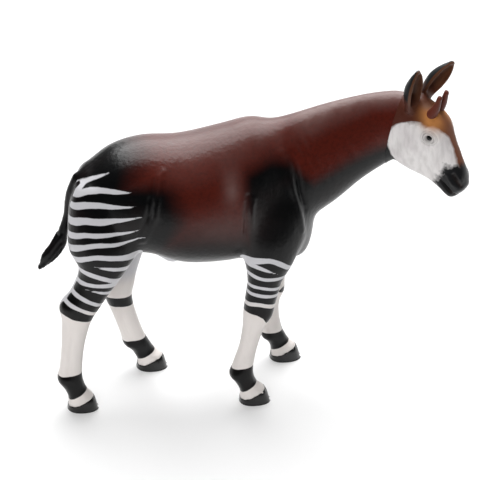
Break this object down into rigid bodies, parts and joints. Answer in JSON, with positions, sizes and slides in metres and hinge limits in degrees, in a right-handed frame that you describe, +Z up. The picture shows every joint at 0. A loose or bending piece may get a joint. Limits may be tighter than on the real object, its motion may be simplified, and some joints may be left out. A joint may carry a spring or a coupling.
{
  "type": "toy okapi figure",
  "caption": "Hand-painted moulded plastic toy figure of an okapi in mid walk, head turned to its right, standing on its four hooves.",
  "frame": {"origin": "middle of the box round the figure, on the ground under its hooves", "axes": "+X towards the way the figure walks, +Y to its left, +Z up"},
  "size_m": [0.1258, 0.0354, 0.1062],
  "materials": {
    "body_paint": "maroon paint fading to black, with white stripes on the haunches and forelegs",
    "head_paint": "off-white paint, ochre brow, brown bridge and black muzzle",
    "ear_paint": "brown inside, dark grey outside",
    "horn_paint": "red-brown paint",
    "eye_paint": "gloss black paint",
    "tail_paint": "near-black paint",
    "leg_paint": "white paint with black bands",
    "hoof_paint": "gloss black paint"
  },
  "bodies": {
    "root": {"trunk": "body_paint", "neck": "body_paint", "head": "head_paint", "ear_left": "ear_paint", "horn_left": "horn_paint", "eye_left": "eye_paint", "ear_right": "ear_paint", "horn_right": "horn_paint", "eye_right": "eye_paint", "tail": "tail_paint", "tail_tuft": "tail_paint", "leg_fore_left": "leg_paint", "hoof_fore_left": "hoof_paint", "leg_fore_right": "leg_paint", "hoof_fore_right": "hoof_paint", "leg_hind_left": "leg_paint", "hoof_hind_left": "hoof_paint", "leg_hind_right": "leg_paint", "hoof_hind_right": "hoof_paint"}
  },
  "joints": []
}
